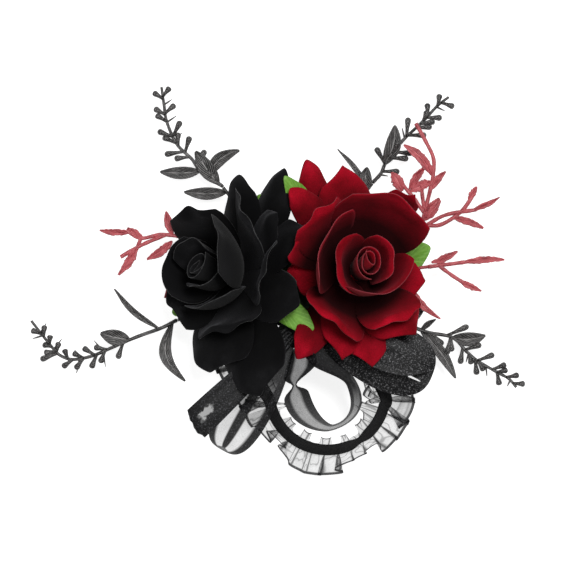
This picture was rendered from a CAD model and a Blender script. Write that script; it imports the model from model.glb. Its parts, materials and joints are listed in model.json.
import json
from math import copysign, cos, exp, hypot, pi, radians, sin, sqrt

import bmesh
import bpy
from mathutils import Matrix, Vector, noise

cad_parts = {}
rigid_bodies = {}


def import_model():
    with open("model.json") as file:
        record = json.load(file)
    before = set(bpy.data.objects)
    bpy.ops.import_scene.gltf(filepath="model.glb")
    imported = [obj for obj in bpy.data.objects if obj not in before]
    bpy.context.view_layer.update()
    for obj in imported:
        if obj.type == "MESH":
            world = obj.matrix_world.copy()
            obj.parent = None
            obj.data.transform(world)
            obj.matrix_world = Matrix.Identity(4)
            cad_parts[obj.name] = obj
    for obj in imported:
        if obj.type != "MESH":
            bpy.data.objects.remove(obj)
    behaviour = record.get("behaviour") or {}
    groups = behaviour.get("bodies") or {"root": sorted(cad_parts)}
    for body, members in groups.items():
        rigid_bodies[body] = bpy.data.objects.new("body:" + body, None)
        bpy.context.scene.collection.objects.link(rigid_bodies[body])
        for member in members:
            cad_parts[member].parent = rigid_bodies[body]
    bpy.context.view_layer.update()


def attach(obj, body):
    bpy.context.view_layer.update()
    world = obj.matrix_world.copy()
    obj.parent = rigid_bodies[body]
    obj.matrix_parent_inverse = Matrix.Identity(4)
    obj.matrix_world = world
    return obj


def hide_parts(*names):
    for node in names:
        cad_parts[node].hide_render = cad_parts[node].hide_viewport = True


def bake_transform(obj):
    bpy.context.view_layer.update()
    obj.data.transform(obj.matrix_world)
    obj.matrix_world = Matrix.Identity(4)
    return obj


# A wrist corsage of velvet roses, seen from straight above, on a white table.
# Sizes of the part are in millimetres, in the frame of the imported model.

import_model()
scene = bpy.context.scene

MM = 0.001
UP = Vector((0, 0, 1))
FULL_TURN = 2 * pi


# Small helpers


def mix(a, b, t):
    return a + (b - a) * t


def clamp(x, low=0.0, high=1.0):
    return min(max(x, low), high)


def smooth(low, high, x):
    t = clamp((x - low) / (high - low))
    return t * t * (3 - 2 * t)


def bump(x, at, half):
    return exp(-(((x - at) / half) ** 2))


def wander(point, pitch, seed):
    """A smooth number from about -1 to 1 that wanders over the given pitch."""
    return noise.noise(Vector(point) / pitch + Vector((seed * 7.3, seed * 3.1, seed * 1.7)))


def route(points, t):
    """A smooth curve through points, t from 0 to 1."""
    last = len(points) - 1
    place = clamp(t) * last
    i = min(int(place), last - 1)
    f = place - i
    b, c = points[i], points[i + 1]
    a = points[i - 1] if i > 0 else b * 2 - c
    d = points[i + 2] if i + 2 <= last else c * 2 - b
    square, cube = a * 2 - b * 5 + c * 4 - d, b * 3 - a - c * 3 + d
    return (b * 2 + (c - a) * f + square * f * f + cube * f ** 3) * 0.5


def distances(points):
    """How far along the path each point lies."""
    far = [0.0]
    for a, b in zip(points, points[1:]):
        far.append(far[-1] + (b - a).length)
    return far


def lattice(rows, columns, make):
    """A grid of points, each made from its shares of the way along and across."""
    return [[make(i / rows, j / columns) for j in range(columns + 1)] for i in range(rows + 1)]


def grid_area(grid):
    area = 0.0
    for row, ahead in zip(grid, grid[1:]):
        for j in range(len(row) - 1):
            area += (ahead[j + 1] - row[j]).cross(ahead[j] - row[j + 1]).length / 2
    return area


def cell(u, v):
    """The corners of one cell of a grid, in turn."""
    return [(u, v), (u + 1, v), (u + 1, v + 1), (u, v + 1)]


# Meshes

# Weave coordinates are lengths in units of so many millimetres, and a tube counts as this much of one round
WEAVE_UNIT = 100
TUBE_WEAVE = 1 / 20


class Shape:
    """Points and faces, gathered piece by piece. A face has its corners, its places in two sets of surface
    coordinates, span and weave, its material number, and whether it is shaded flat."""

    def __init__(self):
        self.points = []
        self.faces = []

    def face(self, corners, span, weave, slot=0, flat=False):
        self.faces.append((corners, span, weave, slot, flat))

    def sheet(self, grid, thickness=0.0, slots=(0, 0, 0), marks=None):
        """A sheet through a grid of points: one layer, or two and a rim where it has a thickness.

        marks, one number a row, takes the place of the way along in the span coordinates."""
        rows, columns = len(grid) - 1, len(grid[0]) - 1
        across = distances(grid[rows // 2])
        along = distances([row[columns // 2] for row in grid])
        start, width = len(self.points), columns + 1
        under = (rows + 1) * width
        layers = (0.5, -0.5) if thickness else (0.0,)
        for side in layers:
            for i, row in enumerate(grid):
                for j, point in enumerate(row):
                    step = grid[min(i + 1, rows)][j] - grid[max(i - 1, 0)][j]
                    reach = row[min(j + 1, columns)] - row[max(j - 1, 0)]
                    normal = step.cross(reach)
                    if normal.length > 1e-9:
                        normal.normalize()
                    self.points.append(point + normal * (side * thickness))

        def coordinates(corners):
            spans = [(j / columns, marks[i] if marks else i / rows) for j, i in corners]
            return spans, [(across[j] / WEAVE_UNIT, along[i] / WEAVE_UNIT) for j, i in corners]

        for layer in range(len(layers)):
            base = start + layer * under
            for i in range(rows):
                for j in range(columns):
                    corners = cell(j, i)[::-1] if layer else cell(j, i)
                    numbers = [base + b * width + a for a, b in corners]
                    self.face(numbers, *coordinates(corners), slots[layer])
        if not thickness:
            return
        rim = [(j, 0) for j in range(columns)] + [(columns, i) for i in range(rows)]
        rim += [(j, rows) for j in range(columns, 0, -1)] + [(0, i) for i in range(rows, 0, -1)]
        for near, far in zip(rim, rim[1:] + rim[:1]):
            a, b = (start + i * width + j for j, i in (near, far))
            self.face([b, a, a + under, b + under], *coordinates((far, near, near, far)), slots[2], True)

    def tube(self, path, radii, sides, flatten=1.0):
        """A closed tube along a path, flattened along Z where asked."""
        start, last = len(self.points), len(path) - 1
        along = distances(path)
        normal = None
        for i, point in enumerate(path):
            tangent = (path[min(i + 1, last)] - path[max(i - 1, 0)]).normalized()
            guide = normal or (UP if abs(tangent.z) < 0.9 else Vector((1, 0, 0)))
            normal = (guide - tangent * guide.dot(tangent)).normalized()
            side = tangent.cross(normal)
            for k in range(sides):
                turn = FULL_TURN * k / sides
                spoke = normal * (cos(turn) * flatten) + side * sin(turn)
                self.points.append(point + spoke * radii[i])
        for i in range(last):
            first = start + i * sides
            for k in range(sides):
                a, b = first + k, first + (k + 1) % sides
                span = [(u / sides, v / last) for u, v in cell(k, i)]
                weave = [(u / sides * TUBE_WEAVE, along[v] / WEAVE_UNIT) for u, v in cell(k, i)]
                self.face([a, b, b + sides, a + sides], span, weave)
        for first, v in ((start, 0.0), (start + last * sides, 1.0)):
            self.face([first + k for k in range(sides)], [(0.5, v)] * sides, [(0.0, v)] * sides)

    def object(self, name, materials):
        corners, spans, weaves, slots, flats = zip(*self.faces)
        mesh = bpy.data.meshes.new(name)
        mesh.from_pydata([tuple(p * MM) for p in self.points], [], corners)
        for material in materials:
            mesh.materials.append(material)
        for layer, values in (("span", spans), ("weave", weaves)):
            uv = mesh.uv_layers.new(name=layer)
            uv.data.foreach_set("uv", [number for face in values for pair in face for number in pair])
        mesh.polygons.foreach_set("material_index", slots)
        mesh.polygons.foreach_set("use_smooth", [not flat for flat in flats])
        mesh.update()
        return placed(name, mesh)


def placed(name, data):
    """A new object in the scene."""
    made = bpy.data.objects.new(name, data)
    scene.collection.objects.link(made)
    return made


def sheet_piece(name, materials, *grid, **options):
    shape = Shape()
    shape.sheet(*grid, **options)
    return shape.object(name, materials)


def outward(piece, merge=False):
    """Turns the faces of a closed mesh outwards, after merging its seam and closing its ends where asked."""
    work = bmesh.new()
    work.from_mesh(piece.data)
    if merge:
        bmesh.ops.remove_doubles(work, verts=work.verts, dist=1e-6)
        bmesh.ops.holes_fill(work, edges=work.edges)
    bmesh.ops.recalc_face_normals(work, faces=work.faces)
    work.to_mesh(piece.data)
    work.free()
    return piece


def settle(piece, body, slot, *nodes):
    """The piece rides on a body, takes a record slot and stands for CAD nodes."""
    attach(piece, body)
    dress(piece, slot, *nodes)


def dress(piece, slot, *nodes):
    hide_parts(*nodes)


# Materials


def operator(name):
    """Arithmetic on a value, which adds a node."""
    return lambda value, other=0.0: value.paint.math(name, value, other)


class Value:
    """What a node gives out."""

    def __init__(self, paint, socket):
        self.paint, self.socket = paint, socket

    __add__, __sub__, __mul__ = operator("ADD"), operator("SUBTRACT"), operator("MULTIPLY")
    __abs__, most, least = operator("ABSOLUTE"), operator("MAXIMUM"), operator("MINIMUM")

    def __rsub__(self, other):
        return self.paint.math("SUBTRACT", other, self)

    def sine(self, turns):
        return self.paint.math("SINE", self * (turns * FULL_TURN))

    def span(self, low, high, to_low=0.0, to_high=1.0):
        inputs = {"Value": self, "From Min": low, "From Max": high, "To Min": to_low, "To Max": to_high}
        return self.paint.get("Result", "ShaderNodeMapRange", inputs)


class Paint:
    """A material with a Principled shader, and short ways to add nodes to it."""

    def __init__(self, name, **sockets):
        self.material = bpy.data.materials.new(name)
        self.material.use_nodes = True
        self.tree = self.material.node_tree
        self.shader = self.tree.nodes["Principled BSDF"]
        for socket, value in sockets.items():
            self.use(socket.replace("_", " "), value)

    def feed(self, node, socket, value):
        if isinstance(value, Value):
            self.tree.links.new(value.socket, node.inputs[socket])
        else:
            node.inputs[socket].default_value = value

    def use(self, socket, value):
        self.feed(self.shader, socket, value)

    def node(self, kind, inputs, **settings):
        made = self.tree.nodes.new(kind)
        for name, value in settings.items():
            setattr(made, name, value)
        for socket, value in inputs.items():
            self.feed(made, socket, value)
        return made

    def get(self, output, kind, inputs, **settings):
        return Value(self, self.node(kind, inputs, **settings).outputs[output])

    def math(self, operation, a, b=0.0, limit=False):
        return self.get(0, "ShaderNodeMath", {0: a, 1: b}, operation=operation, use_clamp=limit)

    def place(self):
        return self.get("Object", "ShaderNodeTexCoord", {})

    def surface(self, layer):
        return self.get("UV", "ShaderNodeUVMap", {}, uv_map=layer)

    def split(self, layer):
        made = self.node("ShaderNodeSeparateXYZ", {"Vector": self.surface(layer)})
        return Value(self, made.outputs["X"]), Value(self, made.outputs["Y"])

    def clouds(self, vector, scale, detail=2.0, roughness=0.5):
        inputs = {"Vector": vector, "Scale": scale, "Detail": detail, "Roughness": roughness}
        return self.get("Fac", "ShaderNodeTexNoise", inputs)

    def streaks(self, scale, detail, roughness=0.5):
        """Clouds drawn out along the weave coordinates."""
        inputs = {"Vector": self.surface("weave"), "Scale": scale}
        return self.clouds(self.get("Vector", "ShaderNodeMapping", inputs), 1.0, detail, roughness)

    def ramp(self, value, *stops):
        made = self.node("ShaderNodeValToRGB", {"Fac": value})
        elements = made.color_ramp.elements
        for i, (position, color) in enumerate(stops):
            stop = elements[i] if i < 2 else elements.new(position)
            stop.position = position
            stop.color = (*color, 1)
        return Value(self, made.outputs["Color"])

    def scaled(self, color, share):
        return self.get(0, "ShaderNodeVectorMath", {0: color, "Scale": share}, operation="SCALE")

    def threads(self, count):
        """Crossing threads, from the weave coordinates: 0 in the holes and 1 on the threads."""
        x, y = self.split("weave")
        return (x.sine(count) * y.sine(count)).span(-1.0, 1.0)

    def veins(self, along, back, midrib, side):
        """How far a place lies from a leaf's midrib and slanting veins, whichever is nearer."""
        x, y = self.split("span")
        rib = abs(x - 0.5)
        slant = self.math("PINGPONG", y * along - rib * back, 0.5)
        return (rib * midrib).least(slant * side)

    def depth(self, low=0.42, high=0.95, least=0.05):
        """Darker towards the foot of a petal, where little light comes in."""
        return self.split("span")[1].span(low, high, least, 1.0)

    def done(self, color, height, strength, distance):
        """The material, with its colour and its raised grain."""
        self.use("Base Color", color)
        inputs = {"Height": height, "Strength": strength, "Distance": distance}
        self.use("Normal", self.get("Normal", "ShaderNodeBump", inputs))
        return self.material


def velvet(name, deep, base, light, sheen, tint):
    """Cut pile: patches of nap that lie differently, a fine grain, and a soft sheen at grazing angles."""
    sheens = {"Sheen_Weight": sheen, "Sheen_Roughness": 0.45, "Sheen_Tint": (*tint, 1)}
    paint = Paint(name, Roughness=0.92, Specular_IOR_Level=0.12, **sheens)
    place = paint.place()
    nap = paint.clouds(place, 95, 3)
    grain = paint.clouds(place, 2600, 2, 0.7)
    color = paint.ramp(nap, (0.3, deep), (0.55, base), (0.8, light))
    fleck = grain.span(0.25, 0.75, 0.58, 1.25) * paint.depth()
    return paint.done(paint.scaled(color, fleck), grain + nap * 0.6, 0.3, 0.0004)


def woven_back(name, base, light):
    """The woven back of the velvet, with its threads showing."""
    paint = Paint(name, Roughness=0.9, Sheen_Weight=0.04, Specular_IOR_Level=0.2)
    threads = paint.threads(130)
    patch = paint.clouds(paint.place(), 140, 3)
    color = paint.ramp(threads * patch.span(0.3, 0.7, 0.5, 1.0), (0.1, base), (0.95, light))
    return paint.done(paint.scaled(color, paint.depth(0.3, 0.85, 0.16)), threads, 0.4, 0.0002)


def cut_edge(name, base, light):
    """The cut edge of the cloth, where the paler ground shows in uneven flecks."""
    paint = Paint(name, Roughness=0.8)
    paint.use("Base Color", paint.ramp(paint.clouds(paint.place(), 1500, 3), (0.35, base), (0.7, light)))
    return paint.material


def plastic(name, deep, base, streak, streaks):
    """Moulded plastic with paint rubbed thin along its raised grain."""
    paint = Paint(name, Roughness=0.4, Specular_IOR_Level=0.45)
    grain = paint.streaks((420.0, 30.0, 1.0), 3, 0.6)
    patch = paint.clouds(paint.place(), 260, 3)
    raised = paint.veins(7.0, 8.0, 7.0, 2.6).span(0.0, 0.34, 0.3, -0.04)
    both = grain * 0.65 + patch * 0.35 + raised
    paint.use("Roughness", patch.span(0.3, 0.7, 0.3, 0.55))
    return paint.done(paint.ramp(both, (0.36, deep), (0.5, base), (streaks, streak)), both, 0.5, 0.0004)


def organza(
    name, dark, glint, centre, edge, hem, outer=1.0, creased=False, window=0.0, doubled=(0.0, 0.0), tip=0.0
):
    """Sheer cloth: open in the middle, close at its woven edges, with glinting threads.

    outer below 1 widens its first edge, creased cloth is also close along its folds, window is the share
    of it left open near the far end, doubled is how far it lies double at its start and at its end, and
    tip is how far it is close on both sides of its far end."""
    paint = Paint(name, Roughness=0.5, Specular_IOR_Level=0.2)
    x, y = paint.split("span")
    edging = (x * outer).least(1.0 - x).span(hem, hem * 0.7)
    place = paint.place()
    speck = paint.clouds(place, 1700, 2, 0.75)
    drift = paint.clouds(place, 240, 2)
    threads = paint.threads(240)
    loose = 0.02 + 0.3 * centre * (1 - centre)
    veil = (speck + drift * 0.6).span(0.5, 1.1, centre - loose, centre + loose)
    veil += threads.span(0.0, 1.0, -loose / 2, loose / 2)
    if creased:
        crumple = abs(paint.streaks((14.0, 46.0, 1.0), 1) - 0.5)
        edging = edging.most(y.span(0.3, 0.9, 0.0, 0.85)).most(crumple.span(0.004, 0.035, 0.5, 0.0))
    for length, way in zip(doubled, (y, 1.0 - y)):
        if length:
            edging = edging.most(way.span(length, length * 0.6, 0.0, 0.97))
    ahead = abs(y - 0.5)
    if tip:
        edging = edging.most(ahead.span(tip, tip * 0.6, 0.0, 0.95))
    if window:
        warp = paint.clouds(place, 420, 3).span(0.2, 0.8, -0.09, 0.09)
        ahead += warp * 0.35
        slant = x + warp + ahead * 0.9
        inside = slant.span(0.44, 0.5) * slant.span(0.76, 0.7)
        veil -= inside * ahead.span(0.11, 0.13) * ahead.span(0.22, 0.2) * window
    paint.use("Alpha", paint.math("ADD", veil, (edge - veil) * edging, limit=True))
    return paint.done(paint.ramp(speck, (0.54, dark), (0.8, glint)), threads, 0.2, 0.0002)


def elastic_cloth(name, deep, base):
    """Knitted elastic: ribs along the strip, crossed by fine rows of stitches."""
    paint = Paint(name, Roughness=0.85, Specular_IOR_Level=0.2)
    x, y = paint.split("weave")
    knit = (x.sine(90) + y.sine(160) * 0.5).span(-1.5, 1.5)
    worn = paint.clouds(paint.place(), 300, 3)
    return paint.done(paint.ramp(knit * 0.6 + worn * 0.4, (0.25, deep), (0.8, base)), knit, 0.5, 0.0003)


def leaf_cloth(name, deep, base, light):
    """Green coated cloth with a fine grain and lighter veins."""
    paint = Paint(name, Roughness=0.55)
    veins = paint.veins(9.0, 9.0, 6.0, 2.4).span(0.0, 0.5, 1.0, 0.0)
    share = veins * 0.35 + paint.clouds(paint.place(), 900, 3) * 0.7
    return paint.done(paint.ramp(share, (0.2, deep), (0.45, base), (0.85, light)), share, 0.35, 0.0003)


def grainy(name, deep, base, scale, roughness, rise):
    """A matt stuff with a random grain, such as felt, card or tape."""
    paint = Paint(name, Roughness=roughness)
    grain = paint.clouds(paint.place(), scale, 4, 0.65)
    return paint.done(paint.ramp(grain, (0.3, deep), (0.7, base)), grain, 0.5, rise)


RED_VELVET = (0.2, 0.0004, 0.005), (0.36, 0.0014, 0.012), (0.48, 0.004, 0.02)
RED_CLOTH = (
    velvet("red_velvet", *RED_VELVET, 0.1, (0.9, 0.1, 0.14)),
    woven_back("red_velvet_back", (0.2, 0.001, 0.007), (0.4, 0.005, 0.019)),
    cut_edge("red_velvet_edge", (0.13, 0.002, 0.008), (0.28, 0.026, 0.038)),
)
BLACK_VELVET = (0.002, 0.002, 0.0024), (0.0045, 0.0045, 0.005), (0.012, 0.012, 0.013)
BLACK_CLOTH = (
    velvet("black_velvet", *BLACK_VELVET, 0.09, (0.6, 0.6, 0.65)),
    woven_back("black_velvet_back", (0.002, 0.002, 0.0024), (0.012, 0.012, 0.013)),
    cut_edge("black_velvet_edge", (0.005, 0.005, 0.0055), (0.045, 0.045, 0.046)),
)
calyx_green = leaf_cloth("calyx_cloth", (0.11, 0.28, 0.022), (0.15, 0.36, 0.035), (0.22, 0.45, 0.07))
CALYX_CLOTH = calyx_green, calyx_green, cut_edge("calyx_edge", (0.12, 0.3, 0.03), (0.3, 0.5, 0.12))
PLASTICS = {
    "black_plastic": plastic(
        "black_plastic", (0.0035, 0.0032, 0.0031), (0.0165, 0.0151, 0.0146), (0.34, 0.33, 0.325), 0.74
    ),
    "coral_plastic": plastic("coral_plastic", (0.19, 0.013, 0.021), (0.46, 0.06, 0.074), (0.74, 0.24, 0.25), 0.72),
}
DARK, GLINT = (0.004, 0.004, 0.0044), (0.12, 0.12, 0.13)
RIBBON_CLOTHS = {
    "pale": organza(
        "ribbon_pale_organza", DARK, GLINT, 0.35, 0.98, 0.22, outer=0.55, doubled=(0.2, 0.24), tip=0.04
    ),
    "single": organza("ribbon_single_organza", DARK, GLINT, 0.74, 0.99, 0.38, outer=1.3, doubled=(0.36, 0.0)),
    "dense": organza("ribbon_dense_organza", DARK, (0.3, 0.3, 0.31), 1.02, 1.0, 0.12),
    "windowed": organza("ribbon_windowed_organza", DARK, GLINT, 0.975, 1.0, 0.13, window=0.6),
}
knot_cloth = grainy("knot_organza", (0.002, 0.002, 0.0022), (0.006, 0.006, 0.0065), 1700, 0.95, 0.0002)
ruffle_cloth = organza(
    "ruffle_organza", (0.008, 0.008, 0.009), (0.2, 0.2, 0.21), 0.33, 0.96, 0.06, creased=True
)
band_cloth = elastic_cloth("band_elastic", (0.003, 0.003, 0.0033), (0.013, 0.013, 0.014))
felt_cloth = grainy("felt", (0.004, 0.004, 0.0045), (0.018, 0.018, 0.019), 1400, 0.95, 0.0006)
pad_card = grainy("pad_card", (0.01, 0.01, 0.0105), (0.022, 0.022, 0.023), 700, 0.7, 0.0002)
stem_tape = grainy("stem_tape", (0.012, 0.022, 0.007), (0.045, 0.07, 0.028), 900, 0.75, 0.0004)
stem_wire = grainy("stem_wire", (0.02, 0.024, 0.018), (0.05, 0.056, 0.045), 1200, 0.45, 0.0002)


# The stack of the base, from the felt up

FIT_GAP = 0.3
FELT_RADIUS, FELT_THICKNESS = 19.0, 1.5
PAD_RADIUS, PAD_THICKNESS = 17.0, 2.0
BINDING_RADIUS, BINDING_HEIGHT = 13.0, 6.0
ELASTIC_WIDTH, ELASTIC_THICKNESS = 8.0, 1.0
ELASTIC_Z = FELT_THICKNESS + FIT_GAP + ELASTIC_THICKNESS / 2
PAD_Z = ELASTIC_Z + ELASTIC_THICKNESS / 2 + FIT_GAP
BINDING_Z = PAD_Z + PAD_THICKNESS + FIT_GAP
BINDING_TOP_Z = BINDING_Z + BINDING_HEIGHT
WIRE_Z = BINDING_Z + BINDING_HEIGHT / 2
ROSE_LIFT = 2.6
ROSE_Z = BINDING_TOP_Z + ROSE_LIFT
TURNED_SIDES = 96
# The radius of the hole left at the centre of a turned form, which is then filled
PIN_HOLE = 0.02


def rounded_disc(radius, low, high, soft):
    """The profile of a disc with rounded edges."""
    steps = [pi / 2 * k / 4 for k in range(5)]
    profile = [(PIN_HOLE, low), (radius * 0.5, low)]
    profile += [(radius - soft + soft * sin(a), low + soft - soft * cos(a)) for a in steps]
    profile += [(radius - soft + soft * cos(a), high - soft + soft * sin(a)) for a in steps]
    return profile + [(radius * 0.5, high), (PIN_HOLE, high)]


def binding_profile():
    """A drum that narrows in its upper half."""
    profile = [(PIN_HOLE, BINDING_Z), (BINDING_RADIUS * 0.6, BINDING_Z)]
    for step in range(25):
        share = step / 24
        height = mix(BINDING_Z, BINDING_TOP_Z, share)
        profile.append((BINDING_RADIUS * (1 - 0.28 * smooth(0.5, 1, share)), height))
    return profile + [(BINDING_RADIUS * 0.4, BINDING_TOP_Z - 0.1), (PIN_HOLE, BINDING_TOP_Z)]


def felt_edge(turn, share):
    return 0.12 * sin(turn * 7) * sin(turn * 3)


def tape_ridge(turn, share):
    """The lapped edges of the tape, wound upwards in a spiral."""
    lap = (share * 5 + turn / FULL_TURN) % 1
    return 0.45 * lap - 0.5


def turned(name, material, profile, offset):
    """A form turned round the Z axis from a profile of (radius, height), from bottom to top."""
    grid = []
    for k in range(TURNED_SIDES + 1):
        turn = FULL_TURN * (k % TURNED_SIDES) / TURNED_SIDES
        grid.append([])
        for i, (radius, height) in enumerate(profile):
            r = radius + (offset(turn, i / (len(profile) - 1)) if radius > 0.5 else 0.0)
            grid[-1].append(Vector((r * cos(turn), r * sin(turn), height)))
    return outward(sheet_piece(name, [material], grid), merge=True)


felt_profile = rounded_disc(FELT_RADIUS - 0.15, 0, FELT_THICKNESS, 0.5)
settle(turned("felt_disc", felt_cloth, felt_profile, felt_edge), "base", "felt", "felt_backing")
pad_profile = rounded_disc(PAD_RADIUS, PAD_Z, PAD_Z + PAD_THICKNESS, 0.35)
settle(turned("pad_disc", pad_card, pad_profile, lambda turn, share: 0.0), "base", "pad", "base_pad")
settle(turned("taped_binding", stem_tape, binding_profile(), tape_ridge), "base", "tape", "stem_binding")

for name in ("red_rose_stem", "black_rose_stem"):
    materials = bpy.data.objects[name].data.materials
    materials.clear()
    materials.append(stem_wire)


# The wristband

BAND_SEAT_Y = -10.0
BAND_CENTRE = Vector((12.4, -44, 0))
BAND_RADIUS = 23.6
ARC_FROM, ARC_TO = radians(270 - 75), radians(270 + 75)
FRONT_LEAN = radians(60)
BAND_FLOOR = 1.6
BAND_STEPS = 60
ANCHOR_REACH = sqrt(FELT_RADIUS ** 2 - (BAND_SEAT_Y + ELASTIC_WIDTH / 2) ** 2) + FIT_GAP
# The strands bend between the band's sides and its front, from the first of these places to the second
# The front strip laps over the ends of the strands, and is pinched where its stitching has drawn it in
FRONT_LAP = 0.018
PINCH_AT, PINCH_HALF = 0.72, 0.045


def arc_point(t):
    angle = mix(ARC_FROM, ARC_TO, t)
    return BAND_CENTRE + Vector((cos(angle), sin(angle), 0)) * BAND_RADIUS


def strand_points(side):
    """The plan of a strand, going round the band from its left end to its right end."""
    arc = arc_point(0 if side < 0 else 1)
    seat = Vector((side * (ANCHOR_REACH + FIT_GAP), BAND_SEAT_Y, 0))
    bulge = seat + Vector((side * 3.6, -1.6, 0))
    turn = seat + Vector((side * 5.4, -7.5, 0))
    half = turn.lerp(arc, 0.55) + Vector((side * 1.6, 0, 0))
    lead = (arc_point(0.03 if side < 0 else 0.97) - arc).normalized()
    meet = arc - lead * FIT_GAP
    points = [seat, bulge, turn, half, meet - lead * 3, meet]
    return points if side < 0 else points[::-1]


left_points, right_points = strand_points(-1), strand_points(1)


def stand_up(t):
    return smooth(0.1, 0.9, t)


# Each stretch of the band: its plan, and how far it stands up from flat to the lean of the front
STRETCHES = {
    "left": (lambda t: route(left_points, t), stand_up),
    "front": (arc_point, lambda t: 1.0),
    "right": (lambda t: route(right_points, t), lambda t: stand_up(1 - t)),
}


def band_frame(stretch, t):
    at, lean_share = STRETCHES[stretch]
    travel = (at(t + 0.01) - at(t - 0.01)).normalized()
    out = Vector((travel.y, -travel.x, 0))
    lean = lean_share(t) * FRONT_LEAN
    across = out * -cos(lean) + UP * sin(lean)
    middle = at(t).copy()
    middle.z = mix(ELASTIC_Z, BAND_FLOOR, lean_share(t)) + ELASTIC_WIDTH / 2 * sin(lean)
    return middle, across, out, travel


def strip(name, frames):
    """A strip of elastic with soft edges. Each frame has its middle, its way across and its share of the width."""
    grid = []
    for middle, across, share in frames:
        half = ELASTIC_WIDTH / 2 * share
        grid.append([middle + across * (half * u) for u in (-1, -0.92, -0.6, -0.2, 0.2, 0.6, 0.92, 1)])
    return outward(sheet_piece(name, [band_cloth], grid, ELASTIC_THICKNESS * 0.9))


def bend_between(piece, slot, *nodes):
    """The piece's near end goes with the band's sides and its far end with the band's front."""
    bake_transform(piece)
    dress(piece, slot, *nodes)


anchor_frames = []
for step in range(25):
    x = mix(-ANCHOR_REACH, ANCHOR_REACH, step / 24)
    anchor_frames.append((Vector((x, BAND_SEAT_Y, ELASTIC_Z)), Vector((0, 1, 0)), 1.0))
settle(strip("band_anchor_strip", anchor_frames), "base", "elastic", "wristband_anchor")

for stretch in STRETCHES:
    frames = []
    for k in range(BAND_STEPS + 1):
        t, share = k / BAND_STEPS, 1.0
        if stretch == "front":
            t = mix(-FRONT_LAP, 1 + FRONT_LAP, t)
            share = 1 - 0.5 * bump(t, PINCH_AT, PINCH_HALF)
        frames.append((*band_frame(stretch, t)[:2], share))
    piece = strip(f"band_{stretch}_strip", frames)
    if stretch == "front":
        settle(piece, "band_front", "elastic", "wristband_front")
    else:
        bend_between(piece, "elastic", f"wristband_{stretch}_strand")


# The ruffles: one gathered organza strip for each stretch, sewn down its middle to the elastic

RUFFLE_STEPS = 26
RUFFLE_PITCH = 5.0
LOWER_EDGE = {"depth": 9.0, "rise": radians(8), "wave": 1.3, "fold": 3.0}
UPPER_EDGE = {"depth": 5.0, "rise": radians(48), "wave": 0.6, "fold": 0.7}
# The upper edge stands up in tabs, as many turns per mm along the strip
TAB_TURN = FULL_TURN / 9.0
# A crease fades out over this many steps
CREASE_HALF = 3
# Where the front ruffle is short: place along the front, half length and share of the depth lost
RUFFLE_DIPS = [
    (0.2, 0.09, 0.7), (0.41, 0.06, -0.12), (0.61, 0.06, 0.5), (0.68, 0.04, 0.4), (0.75, 0.045, 0.6),
    (0.93, 0.06, -0.2),
]


def opening(stretch, spot):
    """How far the ruffle's inner edge lies open, at the right of the front and where the right strand begins."""
    if stretch == "front":
        return bump(spot, 0.96, 0.15)
    return 0.9 * (1 - smooth(0.05, 0.4, spot)) if stretch == "right" else 0.0


def ruffle_side(stretch, spot, run, pleats, side, seed):
    """Points from the elastic out to one edge of the ruffle: the lower edge is side -1, the upper one 1."""
    middle, across, out, travel = band_frame(stretch, spot)
    edge = UPPER_EDGE if side > 0 else LOWER_EDGE
    root = middle + across * (side * (ELASTIC_WIDTH / 2 + 0.4))
    opened = opening(stretch, spot) if side > 0 else 0.0
    rise = edge["rise"] * (1 - 0.6 * opened)
    fall = out * (-side * cos(rise)) + UP * sin(rise)
    ripple = out * (side * sin(rise)) + UP * cos(rise)
    full = clamp(0.85 + 1.5 * wander((run, side * 5.0, seed), 10.0, seed + 3), 0.2, 1.3)
    deep = edge["depth"] * (1 + 0.3 * wander((run, side * 9.0, seed), 8.0, seed + 5)) * (1 + 0.9 * opened)
    if side > 0:
        tab = sin(run * TAB_TURN + 3 * wander((run, 2.0, seed), 14.0, seed))
        deep *= mix(mix(0.16, 0.8, opened), 1, smooth(-0.1, 0.35, tab))
    elif stretch == "front":
        deep *= 1 - sum(loss * bump(spot, place, half) for place, half, loss in RUFFLE_DIPS)
    points = []
    for step in range(9):
        share = step / 8
        bent = pleats + side + share * (0.5 + 1.5 * wander((run, share * 3.0, seed), 5.0, seed + 9))
        swing = edge["wave"] * full * share ** 0.7 * cos(bent)
        fold = edge["fold"] * full * mix(0.45, 1, share ** 0.7) * sin(bent)
        points.append(root + fall * (deep * share) + ripple * swing + travel * fold)
    return points


def crease_marks(ahead):
    """1 where the cloth folds back on itself, from how far along each row of it lies, and 0 away from there."""
    marks = [0.0] * len(ahead)
    for k in range(2, len(ahead)):
        if (ahead[k] > ahead[k - 1]) != (ahead[k - 1] > ahead[k - 2]):
            for near in range(max(k - CREASE_HALF, 0), min(k + CREASE_HALF + 1, len(ahead))):
                marks[near] = max(marks[near], 1 - abs(near - k) / CREASE_HALF)
    return marks


def ruffle(stretch, t_from, t_to, seed):
    at, _ = STRETCHES[stretch]
    length = distances([at(mix(t_from, t_to, k / 80)) for k in range(81)])[-1]
    waves = max(round(length / RUFFLE_PITCH), 1)
    count = waves * RUFFLE_STEPS
    grid, ahead = [], []
    for k in range(count + 1):
        t = k / count
        run, spot = t * length, mix(t_from, t_to, t)
        middle, across, out, travel = band_frame(stretch, spot)
        inner = across.cross(travel)
        if inner.dot(out) > 0:
            inner = -inner
        pleats = FULL_TURN * waves * t + 3.0 * wander((run, seed * 9.0, 0), 13.0, seed)
        lower, upper = (ruffle_side(stretch, spot, run, pleats, side, seed) for side in (-1, 1))
        back = [middle + across * (ELASTIC_WIDTH / 2 * u) + inner * 0.75 for u in (-0.75, 0, 0.75)]
        grid.append(lower[::-1] + back + upper)
        ahead.append(run + LOWER_EDGE["fold"] * 0.9 * sin(pleats - 1))
    piece = sheet_piece(f"ruffle_{stretch}_organza", [ruffle_cloth], grid, marks=crease_marks(ahead))
    return piece


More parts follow.
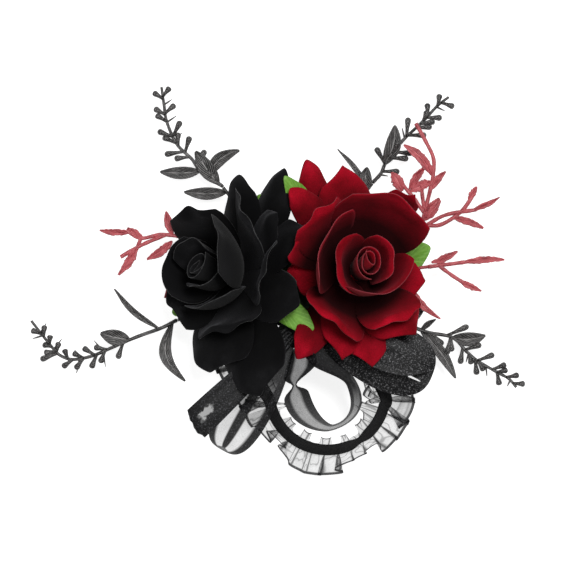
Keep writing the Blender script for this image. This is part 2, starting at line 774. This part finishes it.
settle(ruffle("front", 0.01, 0.99, 2), "band_front", "ruffle", "ruffle_front_lower", "ruffle_front_upper")
bend_between(ruffle("left", 0.5, 0.99, 5), "ruffle", "ruffle_left_lower", "ruffle_left_upper")
bend_between(ruffle("right", 0.01, 0.5, 7), "ruffle", "ruffle_right_lower", "ruffle_right_upper")


# The bow. A flat loop has its two runs one above the other. A standing loop has them side by side,
# its upper edge closing in, leaning over and falling short of the lower one.

FOLDED_RIBBON = 10.5
RIBBON_GATHER = 0.45
RIBBON_END_GAP = 1.4
# The ribbons lie above the front strip and its inner ruffle, with this depth, slope, wave and gap
INNER_DEPTH, INNER_SLOPE, INNER_WAVE, INNER_GAP = 5, radians(62), 1.3, 1
STRIP_TOP = BAND_FLOOR + ELASTIC_WIDTH * sin(FRONT_LEAN)
RIBBON_Z = STRIP_TOP + INNER_DEPTH * sin(INNER_SLOPE) + INNER_WAVE + INNER_GAP

LOOPS = {
    "left_lower": {
        "start": (-3, -20), "end": (-30.2, -67), "low": 2.6, "level": 3.6, "swell": 14.5, "half": 3.0,
        "close": 1.0, "lean": 0.0, "short": 0.03, "blunt": (0.6, 0.6), "cloth": "pale",
    },
    "left_upper": {
        "start": (-2, -20), "end": (-41.6, -57.4), "low": 5.0, "level": 8.0, "swell": 4.0, "half": 6.9,
        "taper": 0.14, "skew": 0.3, "cloth": "windowed",
    },
    "right_lower": {
        "start": (9, -20), "end": (54.6, -36.5), "low": 2.2, "level": 1.8, "swell": 20.0, "half": 1.8,
        "close": 0.96, "lean": -4.5, "short": 0.08, "blunt": (0.75, 0.6), "cloth": "dense",
    },
    "right_upper": {
        "start": (9, -18.5), "end": (53, -34.4), "low": 5.0, "level": 6.0, "swell": 2.4, "half": 8.4,
        "taper": 0.96, "skew": 0.0, "cloth": "dense",
    },
    "centre": {
        "start": (4, -21), "end": (13, -59.5), "low": 4.6, "level": 9.8, "swell": 30.0, "half": 9.2,
        "close": 0.4, "lean": 2.2, "short": 0.08, "blunt": (1.0, 1.0), "cloth": "single", "twist": 0.48,
        "near": {"swell": 27.0, "close": 0.62, "blunt": (1.3, 0.75)},
    },
}


def twisted(v, out, at):
    """The run is drawn together where it twists, and lies open towards the knot."""
    v = mix(v, 0.5, 0.85 * bump(out, at, 0.06))
    return v, 5.0 * v * smooth(0.1, 0.24, out) * (1 - smooth(at - 0.18, at - 0.02, out))


def spilled(v, out):
    """The other run lies over towards the middle near the knot."""
    return -8.0 * v * smooth(0.04, 0.16, out) * (1 - smooth(0.3, 0.62, out))


def ribbon_loop(name, seed):
    loop = LOOPS[name]
    first = Vector((*loop["start"], RIBBON_Z + loop["low"]))
    reach = Vector((*loop["end"], RIBBON_Z + loop["level"])) - first
    aside = UP.cross(reach).normalized()

    def point(s, v):
        out, way = max(sin(pi * s), 0.0), cos(pi * s)
        half = loop["half"] * mix(RIBBON_GATHER, 1, out ** 0.7)
        u = 2 * v - 1
        gather = 0.5 * sin(u * 8 + seed) * (1 - out) + 0.3 * wander((u * 2, s * 6, seed), 1.0, seed)
        if "taper" in loop:
            narrow = half * sqrt(1 - loop["taper"] * clamp((out - 0.5) / 0.5) ** 2)
            uneven = 1 - 0.03 * out * (u - loop["skew"]) ** 2 + 0.015 * out * wander((u * 3, seed, 0), 1.0, seed)
            rise = (loop["swell"] * out + RIBBON_END_GAP) * way + gather
            return first + reach * (out * uneven) + UP * rise + aside * (narrow * u)
        run, flare = loop, 0.0
        if "near" in loop and way < 0:
            run = {**loop, **loop["near"]}
            v, flare = twisted(v, out, loop["twist"])
        elif "near" in loop:
            flare = spilled(v, out)
        steep, pinch = run["blunt"]
        spread = copysign(run["swell"] * abs(way) ** steep * out ** pinch, way)
        spread = (spread + RIBBON_END_GAP * way) * (1 - run["close"] * v) + loop["lean"] * out * v + flare
        far = first + reach * (out * (1 - loop["short"] * v)) + aside * (spread + gather * 0.6)
        return far + UP * (half * (2 * v - 1) + gather * 0.4)

    grid = lattice(120, 20, point)
    length = distances([row[len(row) // 2] for row in grid])[-1]
    piece = sheet_piece(f"bow_{name}_ribbon", [RIBBON_CLOTHS[loop["cloth"]]], grid)
    wide = max(grid_area(grid) / length, FOLDED_RIBBON)
    settle(piece, "base", "organza", f"ribbon_{name}_loop")


KNOT_LOW, KNOT_HIGH = BINDING_Z + FIT_GAP, RIBBON_Z + 7
KNOT_HALF = Vector((11, 7, (KNOT_HIGH - KNOT_LOW) / 2))
KNOT_CENTRE = Vector((3, -BINDING_RADIUS - KNOT_HALF.y, (KNOT_LOW + KNOT_HIGH) / 2))


def knot_point(s, v):
    """The gathered middle of the bow: ribbon wound tight, with deep folds running across it."""
    tilt, turn = pi * clamp(s, 0.01, 0.99), FULL_TURN * v
    fold = 1 - 0.07 * (0.5 + 0.5 * sin(turn * 9 + 2 * sin(tilt * 2)))
    ball = Vector((cos(tilt), sin(tilt) * cos(turn), sin(tilt) * sin(turn)))
    return KNOT_CENTRE + Vector([a * b * fold for a, b in zip(ball, KNOT_HALF)])


knot = sheet_piece("bow_knot", [knot_cloth], lattice(28, 56, knot_point))
settle(outward(knot, merge=True), "base", "organza", "ribbon_knot")
for seed, name in enumerate(LOOPS):
    ribbon_loop(name, seed + 1)


# The roses. A petal: the middle of its rim in plan and its height above the seat, its width, its shape.

VELVET = 0.3
DISC_RADIUS = 4.0
LAYER_PITCH = 2.2
# Where a petal is widest, as a share of the way out
PETAL_WIDEST = 0.62
# The least share of its square that a die-cut layer of petals fills
BUD_RADIUS, BUD_HEIGHT, BUD_TURNS = 6.4, 15.0, 2.4

# Petal shapes. belly, shoulder, climb and arch give the way out from the disc to the rim, roll is the angle by
# which the side edges turn back, lap sets one edge outside the neighbour's, end, cut and curve shape the tip,
# lip turns the rim over and wave ripples it: all in this order.
CUPPED = (0.95, 1.05, 0.6, 0.0, 14, 1.2, 0.74, 0.10, 2.0, 1.1, 0.5)
LEANING = (0.6, 0.85, 0.55, 0.0, 14, 0.8, 0.72, 0.12, 2.0, 2.6, 0.4)
FOLDED = (0.8, 0.95, 0.7, 2.0, 52, 1.3, 0.62, 0.16, 1.7, 2.6, 0.9)
OPEN = (0.45, 0.75, 0.9, 5.0, 62, 0.8, 0.5, 0.2, 1.5, 2.2, 0.9)
POINTED = (0.4, 0.72, 0.9, 5.0, 80, 0.8, 0.3, 0.24, 1.3, 1.6, 0.5)
TONGUE = (0.4, 0.72, 0.9, 5.0, 80, 0.8, 0.5, 0.18, 1.9, 1.8, 0.4)
TIPPED = (0.8, 0.98, 0.75, 3.0, 60, 0.6, 0.3, 0.24, 1.2, 1.4, 0.4)
LOBE = (0.4, 0.7, 0.6, 0.0, 14, 0.0, 0.6, 0.16, 2.0, 0.3, 0.2)

ROSES = {
    "red_rose": {
        "seat": (21.5, 3),
        "axis": (10, 7, 36),
        "cloth": RED_CLOTH,
        "slot": "red_velvet",
        "bud": (1.0, 1.0),
        "heart": [(17.4, 9.6, 31, 30, LEANING), (37.5, 10.5, 27, 22, CUPPED)],
        "cup": [(12.5, 18, 37, 38, CUPPED), (38.8, 32.2, 35, 40, CUPPED), (37, -2, 33, 36, CUPPED)],
        "middle": [
            (10.5, 27, 31, 25, FOLDED), (0.5, 17, 26, 16, TIPPED), (15, -13.5, 28, 28, FOLDED),
            (40.5, -12, 24, 25, FOLDED), (44.5, 34.4, 27, 14, TIPPED),
        ],
        "outer": [
            (18.8, 47.6, 13, 25, POINTED), (47.2, -21.2, 15, 28, POINTED), (18, -30.8, 17, 24, POINTED),
            (-1.2, 39.6, 17, 16, TONGUE),
        ],
        "guard": [
            (0.8, 48.6, 7, 17, TONGUE), (52.4, 0, 6, 26, POINTED), (32, -33.6, 14, 28, POINTED),
            (-0.8, -30, 16, 16, OPEN), (-4.4, 4.4, 14, 22, POINTED),
        ],
        "calyx": [(54, 13, 2, 13, LOBE), (-3.6, 43.4, 15, 10, LOBE), (36, -19, 1, 13, LOBE)],
    },
    "black_rose": {
        "seat": (-23, 0),
        "axis": (-24, 11, 30),
        "cloth": BLACK_CLOTH,
        "slot": "black_velvet",
        "bud": (1.0, 0.62),
        "heart": [(-44, 16, 21, 20, CUPPED), (-38.5, 0, 25, 20, CUPPED)],
        "cup": [(-52.2, 8, 15, 30, CUPPED), (-32, 17, 36, 30, CUPPED), (-37, -8, 27, 28, CUPPED)],
        "middle": [
            (-44, 27.4, 18, 26, FOLDED), (-50, -7, 10, 26, FOLDED), (-24, 28, 33, 30, FOLDED),
            (-31, -17, 24, 30, FOLDED), (-15, 6, 35, 26, FOLDED),
        ],
        "outer": [
            (-22, 43.8, 11, 23, TONGUE), (-8, 28, 27, 18, OPEN), (0.4, -9, 24, 26, OPEN),
            (-36, -36, 16, 34, OPEN),
        ],
        "guard": [
            (-4.8, 46, 12, 24, TONGUE), (1.4, 24.4, 20, 23, OPEN), (-16.4, -45.2, 20, 34, OPEN),
            (-44, -15.5, 4, 20, POINTED),
        ],
        "calyx": [(-50.4, -11.4, 0, 13, LOBE), (7.2, -17.2, 15, 11, LOBE), (-16, 36, 3, 13, LOBE)],
    },
}

LAYERS = {"calyx": 0, "guard": 1, "outer": 2, "middle": 3, "cup": 4, "heart": 5}
BUD_STEP = 6


def bezier(points, t):
    a, b, c, d = points
    f = 1 - t
    at = a * f ** 3 + b * 3 * f * f * t + c * 3 * f * t * t + d * t ** 3
    way = (b - a) * 3 * f * f + (c - b) * 6 * f * t + (d - c) * 3 * t * t
    return at, way.normalized()


def petal_grid(axis, foot, petal, seed):
    x, y, z, width, shape = petal
    belly, shoulder, climb, arch, roll, lap, end, cut, curve, lip, wave = shape
    reach = Vector((x, y, z + ROSE_Z)) - foot
    rim_height = reach.dot(axis)
    radial = reach - axis * rim_height
    rim_radius = radial.length
    radial.normalize()
    side = axis.cross(radial)
    outline = [
        Vector((DISC_RADIUS * 0.85, 0)),
        Vector((rim_radius * belly, 0.5)),
        Vector((rim_radius * shoulder, rim_height * climb + arch)),
        Vector((rim_radius, rim_height)),
    ]
    sway = 0.12 * wander((seed, 3.0, 1.0), 1.7, seed)

    def point(s, v):
        u = 2 * v - 1
        s *= 1 - cut * abs(u) ** curve * smooth(0.45, 1, s)
        at, way = bezier(outline, s)
        if s < PETAL_WIDEST:
            swell = mix(0.12, 1, sin(pi / 2 * s / PETAL_WIDEST))
        else:
            swell = mix(end, 1, cos(pi / 2 * (s - PETAL_WIDEST) / (1 - PETAL_WIDEST)))
        half = width / 2 * swell
        bend = radians(roll) * mix(0.3, 1, smooth(0.2, 0.9, s))
        lateral = half * sin(u * bend) / bend
        off = half * (1 - cos(u * bend)) / bend
        off += lap * u * smooth(0.3, 0.7, s)
        off += 0.8 * smooth(0.3, 0.9, s) * wander((u * 1.7, s * 2.1, seed), 1.0, seed)
        off += wave * smooth(0.55, 1, s) * sin(u * 5 + seed * 1.7)
        off += lip * smooth(0.78, 1.0, s) ** 2
        radius, height = at.x + way.y * off, at.y - way.x * off
        turn = lateral / at.x + sway * smooth(0.4, 1, s) ** 2
        return foot + axis * height + radial * (radius * cos(turn)) + side * (radius * sin(turn))

    return lattice(30, 24, point)


def disc_rings(foot, axis):
    """The disc that holds a layer's petals together."""
    first = axis.orthogonal().normalized()
    second = axis.cross(first)
    rings = []
    for share in (0.3, 0.65, 1.0):
        turns = [FULL_TURN * k / 24 for k in range(25)]
        radius = DISC_RADIUS * 0.97 * share
        rings.append([foot + (first * cos(turn) + second * sin(turn)) * radius for turn in turns])
    return rings


def rose_foot(rose, step):
    """The way up through a rose, and the place of one of its layers on it."""
    axis = Vector(rose["axis"]).normalized()
    return axis, Vector((*rose["seat"], ROSE_Z)) + axis * (step * LAYER_PITCH)


def rose_layer(name, rose, layer, seed):
    step = LAYERS[layer]
    axis, foot = rose_foot(rose, step)
    shape = Shape()
    area = pi * DISC_RADIUS ** 2
    longest = 0.0
    for number, petal in enumerate(rose[layer]):
        grid = petal_grid(axis, foot, petal, seed + step * 10 + number)
        shape.sheet(grid, VELVET, (0, 1, 2))
        area += grid_area(grid)
        longest = max(longest, distances([row[len(row) // 2] for row in grid])[-1])
    shape.sheet(disc_rings(foot, axis), VELVET)
    node, slot, cloth = f"{name}_{layer}_petals", rose["slot"], rose["cloth"]
    if layer == "calyx":
        node, slot, cloth = f"{name}_calyx", "calyx", CALYX_CLOTH
    piece = outward(shape.object(f"{node}_cloth", cloth))
    settle(piece, "base", slot, node)


def rolled_bud(name, rose):
    """One strip of velvet wound into a bud, its turns opening towards the top and folded unevenly."""
    axis, foot = rose_foot(rose, BUD_STEP)
    first = UP.cross(axis).normalized()
    second = axis.cross(first)
    long, short = rose["bud"]

    def point(share, s):
        turn = FULL_TURN * BUD_TURNS * s
        lift = BUD_HEIGHT * share * (1 + 0.06 * sin(turn * 1.3) - 0.14 * (1 - s) * share)
        wide = BUD_RADIUS * mix(0.24, 1, s) * mix(0.7, 1, share)
        wide *= 1 + 0.2 * share * (1 - 0.6 * s) * cos(2 * turn + 0.9)
        wide += 0.5 * share * wander((s * 9, share * 2, 3), 1.0, 4)
        flap = smooth(0.5, 1, share) * (1 - smooth(0.1, 0.26, s))
        drift = 0.9 * share * (1 - s) + 2.2 * flap
        up = foot + axis * (lift - 1.4 * flap) + first * (wide * long * cos(turn) + drift)
        return up + second * (wide * short * sin(turn) - drift)

    grid = lattice(12, 130, point)
    length = distances(grid[len(grid) // 2])[-1]
    piece = outward(sheet_piece(f"{name}_bud_cloth", rose["cloth"], grid, VELVET, (0, 1, 2)))
    settle(piece, "base", rose["slot"], f"{name}_bud")


for number, (name, rose) in enumerate(ROSES.items()):
    for layer in LAYERS:
        rose_layer(name, rose, layer, 100 * (number + 1))
    rolled_bud(name, rose)


# Sprigs and sprays, in plan. Stems, buds and spikes are points. Leaves, blades and leaves tucked under the roses
# have their base, tip, width and, where it matters, how far they bow to the left, as a share of their length.

SLOPE = 0.06
STEM_RADIUS, ROOT_RADIUS = 0.8, 0.68
SPRAY_Z = WIRE_Z + 7.0
BLADE_ROUGHNESS = 0.4
# How far before the place nearest its end a bud or spike leaves the stem, how far a bud goes on past its end,
# and how far buds lie up and down in turn
BUD_LEAN, SPIKE_LEAN = 3.2, 1.6
BUD_REACH, BUD_RISE = 0.8, 0.6
# A bud is a stalk that swells slowly into a blunt club: share of its length and radius
BUD_PROFILE = [
    (0, 0.65), (0.2, 0.66), (0.38, 0.74), (0.54, 0.92), (0.68, 1.12), (0.8, 1.25), (0.89, 1.2), (0.95, 0.95),
    (0.985, 0.6), (1, 0.2),
]

SPRIGS = {
    "upper_left_sprig": {
        "stem": [
            (-30.4, 39.4), (-38, 44), (-42.4, 50), (-48.4, 56), (-52.4, 64.8), (-53.6, 72), (-54.6, 79),
        ],
        "buds": [
            (-57.2, 76.4), (-51.6, 78.2), (-56.8, 70), (-56.2, 67.4), (-49.8, 71.4), (-47.2, 64.6),
            (-55.4, 61), (-53.4, 58.6), (-48, 59.8), (-43.4, 58.4), (-52.6, 52), (-48.6, 50.2), (-37.4, 53),
        ],
        "leaves": [
            (-32, 40, -40.8, 53.2, 6.4), (-36, 43, -23.2, 53.6, 5.2, 0.13), (-40, 44.4, -55.2, 44.8, 5),
        ],
        "spikes": [(-50.4, 74), (-48.6, 67.4), (-46.4, 60.6)],
        "tucked": [(-32.8, 32.4, -45.6, 36.8, 5, 0.035)],
    },
    "upper_right_sprig": {
        "stem": [(31, 41), (34, 44.4), (36.4, 49.6), (42.8, 57.6), (50.8, 65.2), (56.4, 71.2), (61.2, 75)],
        "buds": [
            (52.6, 71.6), (52.2, 68.6), (57.6, 66.6), (54.8, 65), (53.6, 63), (44.8, 66), (51.4, 59.6),
            (32.2, 54), (46, 52.4), (44.2, 50.2), (40.6, 45), (62.6, 71.2), (57.4, 75.2), (40.6, 56.6),
        ],
        "leaves": [(35, 48, 39.6, 63.6, 6.2, -0.08)],
        "spikes": [(42.4, 62.6), (36.8, 43.2), (59.6, 69.4)],
        "tucked": [(25.6, 36, 28.4, 46.8, 5.4), (23.6, 42, 16.4, 54, 2.2)],
    },
    "left_sprig": {
        "stem": [
            (-49, -15.2), (-54.4, -18), (-64.8, -21.8), (-75, -26.2), (-82.6, -29.4), (-90.4, -30.8),
            (-95.6, -29), (-99.2, -25.2), (-102.8, -20.6), (-107, -15.2),
        ],
        "buds": [
            (-101.8, -18), (-106.2, -19.2), (-101.4, -25), (-99.4, -21.8), (-102.6, -30.6), (-101, -28),
            (-96.2, -24.8), (-93.4, -27.4), (-93.8, -33.4), (-89.6, -28.4), (-88.8, -34), (-85.6, -26.4),
            (-81, -26), (-82.6, -33.6), (-79, -31.4), (-72, -29.8),
        ],
        "leaves": [
            (-68, -22.6, -79.2, -20.2, 6.4), (-56, -18.4, -73.6, -2.4, 2.6, 0.07),
            (-50, -16.4, -45.2, -39.6, 5, -0.22),
        ],
        "spikes": [
            (-101, -16.2), (-106.4, -22.4), (-94.8, -22.6), (-89.6, -26.8), (-88.8, -36.4), (-81.8, -23.2),
            (-77.2, -33.8),
        ],
        "tucked": [],
    },
    "right_sprig": {
        "stem": [
            (47, -17.8), (53.2, -20), (62.8, -22), (68.4, -27.6), (73.2, -31.6), (80.8, -36), (85.4, -38.6),
            (88.4, -42),
        ],
        "buds": [
            (68.6, -17.6), (73.6, -25), (70.2, -31.8), (78.8, -29), (75, -34.6), (72.4, -36.2), (66, -31.8),
            (83.6, -33), (84, -35.2), (81.4, -40.4), (88.6, -37.2), (91, -40.6), (62.4, -26.8), (60.6, -28),
            (58.4, -24.4),
        ],
        "leaves": [
            (62.8, -22, 76, -21.2, 5.6, -0.08), (50, -19, 64, -38.4, 4.6, 0.05),
            (50, -18.6, 56, -14.6, 2.2),
        ],
        "spikes": [(76.6, -37.6), (84.8, -41.6), (68.2, -32)],
        "tucked": [(42, -14.6, 51.2, -10.4, 5.6)],
    },
}

SPRAYS = {
    "left_spray": {
        "stems": [
            [(-48.6, 19), (-55.2, 19.4), (-62.8, 18), (-68.6, 21.2)],
            [(-52.6, 19.4), (-62.4, 15.2), (-70.8, 10.4)],
            [(-62.6, 18), (-64.4, 13.4)],
        ],
        "blades": [
            (-67, 20.4, -79.2, 21.2, 2.6), (-62, 18.2, -68, 22.2, 2.2), (-64, 14.4, -71.6, 3.2, 3.2),
            (-50, 16.8, -60.2, 9.4, 3.4, 0.05), (-50, 19.2, -52.4, 28.8, 3.4),
        ],
        "tucked": [(-44, 4, -53.2, -6, 3.0, 0.0)],
    },
    "upper_right_spray": {
        "stems": [
            [(50, 21.6), (51, 27.4), (53.4, 37), (54.8, 44.4), (54.6, 50.4), (51.6, 56.8), (47.6, 64)],
            [(50.3, 23.2), (57.6, 23.4), (65.6, 28.4), (70.2, 34.4)],
            [(52.2, 23.4), (60, 27.4), (72, 29.4)],
            [(51, 28.4), (46.4, 34.6), (42.4, 39.4)],
            [(51.2, 29), (50.2, 36), (50, 41)],
        ],
        "blades": [
            (54.6, 43, 42.8, 55.4, 3.8, -0.08), (53.9, 40.6, 45.4, 36.6, 3.8),
            (53.4, 37.2, 59.6, 44.8, 2.8), (51.4, 29, 57.2, 34, 2.6), (69, 33, 72.2, 38.6, 2.6),
            (70, 29, 81.2, 34.4, 2.2), (62, 26.4, 74.8, 22, 2.8), (42.2, 36.8, 38, 44.4, 4.6),
            (45, 37.6, 51.2, 46.4, 3.0), (50.4, 25, 57.6, 33.2, 3.4),
        ],
        "tucked": [],
    },
    "right_spray": {
        "stems": [[(53.4, 6.6), (60, 7.4), (69, 8.6)], [(57, 7), (62, 3.2), (67, 0)]],
        "blades": [(67, 8.4, 83.2, 9.2, 2.8), (65, 1.2, 74, -3.2, 2.4), (54, 8.2, 64.4, 12.8, 2.8, -0.06)],
        "tucked": [(40, 5, 57.6, -14.4, 3.0, -0.12)],
    },
}


def lifter(pivot, height):
    """Puts a point in plan on the shallow cone that a sprig rises along."""
    return lambda x, y: Vector((x, y, height + SLOPE * hypot(x - pivot[0], y - pivot[1])))


def leaf(shape, base, tip, width, seed, bow, rough, thickness):
    """A leaf between two points, folded along its midrib, bowed, with a wandering edge."""
    along = tip - base
    side = UP.cross(along).normalized()
    bend = along.length * (bow[0] if bow else 0.035 if seed % 2 else -0.035)

    def point(s, v):
        u = 2 * v - 1
        half = width / 2 * mix(0.12, 1, max(sin(pi * s ** 0.9), 0) ** 0.85)
        ragged = 1 + rough * abs(u) ** 3 * wander((s * 14, u, seed), 1.0, seed)
        sway = bend * sin(pi * s)
        rib = -0.3 * bump(u, 0, 0.16) * (1 - s)
        fold = half * 0.34 * abs(u) ** 1.2 + rib + 0.3 * wander((s * 3, u, seed), 1.0, seed + 2)
        return base + along * s + side * (half * u * ragged + sway) + UP * fold

    shape.sheet(lattice(26, 12, point), thickness)


def leaves(shape, rows, base_at, tip_at, seed, rough=0.0, thickness=0.5):
    for number, (base_x, base_y, tip_x, tip_y, width, *bow) in enumerate(rows):
        base, tip = base_at(base_x, base_y), tip_at(tip_x, tip_y)
        leaf(shape, base, tip, width, seed + number, bow, rough, thickness)


def stem_path(points):
    steps = len(points) * 8
    return [route(points, k / steps) for k in range(steps + 1)]


def nearest(points, place):
    return min(range(81), key=lambda k: (route(points, k / 80) - place).length) / 80


def socket_end(plan, height):
    """The inner end of a stem, pushed back from its pivot to meet its wire."""
    pivot = Vector((*plan, height))
    return pivot - Vector((pivot.x, pivot.y, 0)).normalized() * (FIT_GAP + 0.6)


def mould(shape, name, slot, body, node):
    settle(outward(shape.object(name, [PLASTICS[slot]])), body, slot, node)


def sprig(name, parts, seed):
    plan = parts["stem"][0]
    lift = lifter(plan, WIRE_Z)
    points = [lift(*p) for p in parts["stem"]]
    path = stem_path(points)
    length = distances(path)[-1]

    def joint(end, before):
        return route(points, max(nearest(points, end) - before / length, 0))

    shape = Shape()
    inner = socket_end(plan, WIRE_Z)
    radii = [STEM_RADIUS * 0.45, STEM_RADIUS]
    for k in range(len(path)):
        uneven = 1 + 0.12 * wander((k * 0.35, seed, 0), 1.0, seed)
        radii.append(STEM_RADIUS * mix(1, 0.7, k / (len(path) - 1)) * uneven)
    shape.tube([inner, inner.lerp(Vector((*plan, WIRE_Z)), 0.45)] + path, radii, 12)
    for number, bud in enumerate(parts["buds"]):
        end = lift(*bud) + UP * (BUD_RISE if number % 2 else -BUD_RISE)
        root = joint(end, BUD_LEAN)
        end += (end - root).normalized() * BUD_REACH
        bowed = [root.lerp(end, t) + UP * (0.6 * sin(pi * t)) for t, _ in BUD_PROFILE]
        shape.tube(bowed, [radius for _, radius in BUD_PROFILE], 12)
    for spike in parts["spikes"]:
        end = lift(*spike)
        root = joint(end, SPIKE_LEAN)
        shape.tube([root, root.lerp(end, 0.5), end], [0.42, 0.36, 0.16], 8)
    leaves(shape, parts["leaves"], lambda x, y: joint(lift(x, y), 0), lambda x, y: lift(x, y) + UP, seed)
    mould(shape, f"{name}_moulding", "black_plastic", name, name)


def spray(name, parts, seed):
    plan = parts["stems"][0][0]
    lift = lifter(plan, SPRAY_Z)
    shape = Shape()
    for number, stem in enumerate(parts["stems"]):
        path = stem_path([lift(*p) for p in stem])
        if number == 0:
            path.insert(0, socket_end(plan, SPRAY_Z))
        uneven = [1 + 0.2 * wander((k * 0.4, number, seed), 1.0, seed) for k in range(len(path))]
        shape.tube(path, [STEM_RADIUS * share for share in uneven], 12, 0.7)
    leaves(shape, parts["blades"], lift, lift, seed, BLADE_ROUGHNESS, 0.6)
    mould(shape, f"{name}_moulding", "coral_plastic", name, name)


def root_wire(name, plan, height, tucked, slot, seed):
    away = Vector((*plan, 0)).normalized()
    inside = away * (BINDING_RADIUS * 0.75) + UP * WIRE_Z
    outside = away * (BINDING_RADIUS + 2) + UP * WIRE_Z
    stop = Vector((*plan, height)) - away * (FIT_GAP + 0.7)
    path = [inside, inside.lerp(outside, 0.6), outside] + [outside.lerp(stop, k / 12) for k in range(1, 13)]
    shape = Shape()
    shape.tube(path, [ROOT_RADIUS] * len(path), 12)

    def on_wire(x, y):
        return outside.lerp(stop, clamp(hypot(x, y) / hypot(*plan), 0.3, 0.98))

    rough = BLADE_ROUGHNESS if slot == "coral_plastic" else 0.0
    leaves(shape, tucked, on_wire, lambda x, y: Vector((x, y, height)), seed, rough)
    mould(shape, f"{name}_root", slot, "base", f"{name}_root_wire")


for number, (name, parts) in enumerate(SPRIGS.items()):
    sprig(name, parts, 20 * number + 1)
    root_wire(name, parts["stem"][0], WIRE_Z, parts["tucked"], "black_plastic", 20 * number + 7)
for number, (name, parts) in enumerate(SPRAYS.items()):
    spray(name, parts, 20 * number + 3)
    root_wire(name, parts["stems"][0][0], SPRAY_Z, parts["tucked"], "coral_plastic", 20 * number + 9)


# Table, light and camera, in metres

TABLE_HALF, TABLE_GAP, TABLE_GLOW = 3.0, 0.0003, 0.82

white = Paint("table_white", Roughness=0.9, Base_Color=(0.6, 0.6, 0.6, 1), Specular_IOR_Level=0.0)
rays = white.node("ShaderNodeLightPath", {}).outputs
seen = Value(white, rays["Is Camera Ray"])
for kind in ("Glossy", "Transmission"):
    seen = seen.most(Value(white, rays[f"Is {kind} Ray"]))
glow = white.get(0, "ShaderNodeEmission", {"Color": (1, 1, 1, 1), "Strength": seen * TABLE_GLOW})
both = white.get(0, "ShaderNodeAddShader", {0: Value(white, white.shader.outputs[0]), 1: glow})
white.feed(white.tree.nodes["Material Output"], "Surface", both)

floor_mesh = bpy.data.meshes.new("table")
corners = [(x * TABLE_HALF, y * TABLE_HALF, 0) for x, y in ((-1, -1), (1, -1), (1, 1), (-1, 1))]
floor_mesh.from_pydata(corners, [], [(0, 1, 2, 3)])
floor_mesh.materials.append(white.material)
table = placed("table", floor_mesh)
table.location.z = -TABLE_GAP

world = bpy.data.worlds.new("studio")
scene.world = world
world.use_nodes = True
background = world.node_tree.nodes["Background"].inputs
background["Color"].default_value = (1, 1, 1, 1)
background["Strength"].default_value = 0.25


def lamp(name, place, size, power):
    light = bpy.data.lights.new(name, "AREA")
    light.shape, light.size, light.energy = "DISK", size, power
    made = placed(name, light)
    made.location = place
    made.rotation_euler = (-Vector(place)).to_track_quat("-Z", "Y").to_euler()


lamp("key", (0.2, 0.3, 1.05), 0.4, 9.0)
lamp("fill", (-0.6, -0.1, 0.9), 0.8, 2.0)

CAMERA_HEIGHT = 1.2
VIEW_WIDTH = 0.2304
MEAN_HEIGHT = 0.02
camera = bpy.data.cameras.new("camera")
camera.sensor_width = 36
camera.lens = camera.sensor_width * (CAMERA_HEIGHT - MEAN_HEIGHT) / VIEW_WIDTH
eye = placed("camera", camera)
eye.location = (-0.0036, -0.002, CAMERA_HEIGHT)
scene.camera = eye

scene.view_settings.view_transform = "Standard"
